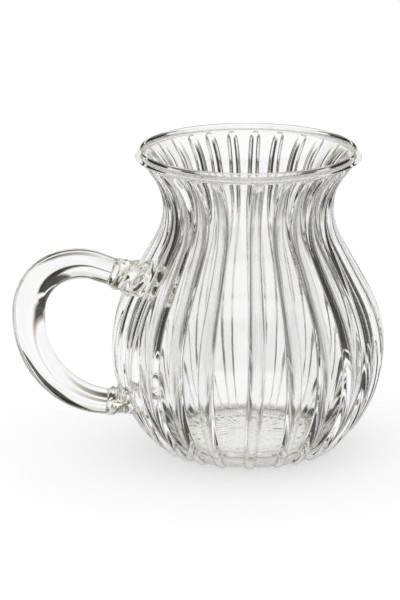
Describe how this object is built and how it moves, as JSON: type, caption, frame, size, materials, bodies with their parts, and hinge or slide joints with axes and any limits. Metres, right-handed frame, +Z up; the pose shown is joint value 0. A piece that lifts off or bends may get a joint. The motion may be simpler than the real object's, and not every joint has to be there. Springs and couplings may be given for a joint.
{
  "type": "chai glass",
  "caption": "Clear glass tea mug with a round belly, drawn-in neck and flared lip, vertical ribs laid round the outside and a bent rod handle welded on at two pads.",
  "frame": {"origin": "centre of the foot's flat underside, on the bowl's axis, where the glass stands on the table", "axes": "+Z up along the bowl's axis, handle towards -X, +Y completes the right-handed frame"},
  "size_m": [0.1107, 0.0799, 0.09],
  "materials": {
    "clear_glass": "fire-polished clear borosilicate glass, almost colourless"
  },
  "bodies": {
    "root": {"bowl": "clear_glass", "handle_rod": "clear_glass", "upper_weld": "clear_glass", "lower_weld": "clear_glass", "rib_01": "clear_glass", "rib_02": "clear_glass", "rib_03": "clear_glass", "rib_04": "clear_glass", "rib_05": "clear_glass", "rib_06": "clear_glass", "rib_07": "clear_glass", "rib_08": "clear_glass", "rib_09": "clear_glass", "rib_10": "clear_glass", "rib_11": "clear_glass", "rib_12": "clear_glass", "rib_13": "clear_glass", "rib_14": "clear_glass", "rib_15": "clear_glass", "rib_16": "clear_glass", "rib_17": "clear_glass", "rib_18": "clear_glass", "rib_19": "clear_glass", "rib_20": "clear_glass", "rib_21": "clear_glass", "rib_22": "clear_glass", "rib_23": "clear_glass", "rib_24": "clear_glass", "rib_25": "clear_glass", "rib_26": "clear_glass"}
  },
  "joints": []
}
